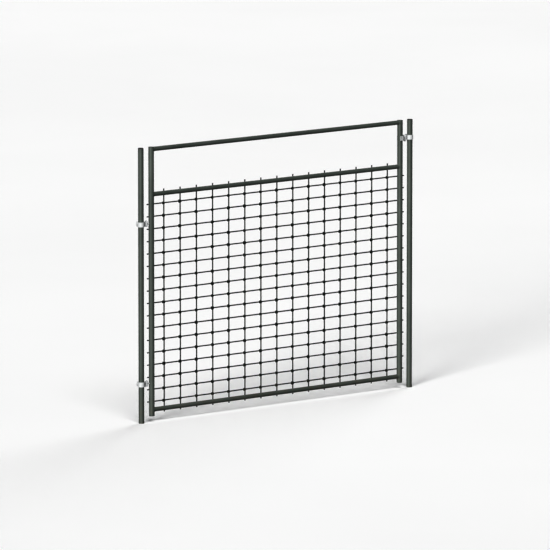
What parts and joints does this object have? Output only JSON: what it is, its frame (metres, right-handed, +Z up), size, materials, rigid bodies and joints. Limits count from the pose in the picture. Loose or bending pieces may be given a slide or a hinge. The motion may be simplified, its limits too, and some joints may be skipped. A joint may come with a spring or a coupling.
{
  "type": "electric netting walk-through gate",
  "caption": "Walk-through livestock gate: a tubular steel leaf with a welded wire panel, hung by clamped pin hinges between two spiked ground posts and held shut by a swinging strap latch.",
  "frame": {"origin": "on the hinge post's axis at ground level, where its ground spike meets the collar", "axes": "+X from the hinge post to the latch post, +Y to the back of the gate (the wire panel's side), +Z up; the leaf opens toward -Y"},
  "size_m": [1.687, 0.0505, 1.613],
  "materials": {
    "green_tube": "satin",
    "green_wire": "satin",
    "zinc": "satin",
    "steel_pin": "satin",
    "black_plastic": "matte",
    "nylon": "matte"
  },
  "bodies": {
    "posts": {"hinge_post": "green_tube", "latch_post": "green_tube", "post_caps": "black_plastic", "post_spikes": "green_tube", "upper_hinge_clamp": "zinc", "lower_hinge_clamp": "zinc", "latch_clamp": "zinc", "clamp_bolts": "zinc", "clamp_nuts": "zinc", "hinge_pins": "steel_pin", "pin_clips": "zinc", "latch_pivot_bolt": "zinc", "latch_pivot_nut": "zinc"},
    "leaf": {"hinge_stile": "green_tube", "latch_stile": "green_tube", "top_rail": "green_tube", "middle_rail": "green_tube", "bottom_rail": "green_tube", "stile_top_plates": "green_tube", "stile_end_caps": "black_plastic", "vertical_wires": "green_wire", "horizontal_wires": "green_wire", "panel_weld_beads": "green_wire", "threaded_inserts": "green_tube", "hinge_eye_bolts": "zinc"},
    "latch": {"latch_strap": "zinc", "latch_washers": "nylon"}
  },
  "joints": [
    {"name": "leaf_swing", "type": "hinge", "parent": "posts", "child": "leaf", "pos_m": [0.031, 0, 0.5765], "axis": [0, 0, -1], "range_deg": [0, 110]},
    {"name": "latch_swing", "type": "hinge", "parent": "posts", "child": "latch", "pos_m": [1.623, 0, 1.245], "axis": [0, 0, 1], "range_deg": [0, 110]}
  ]
}
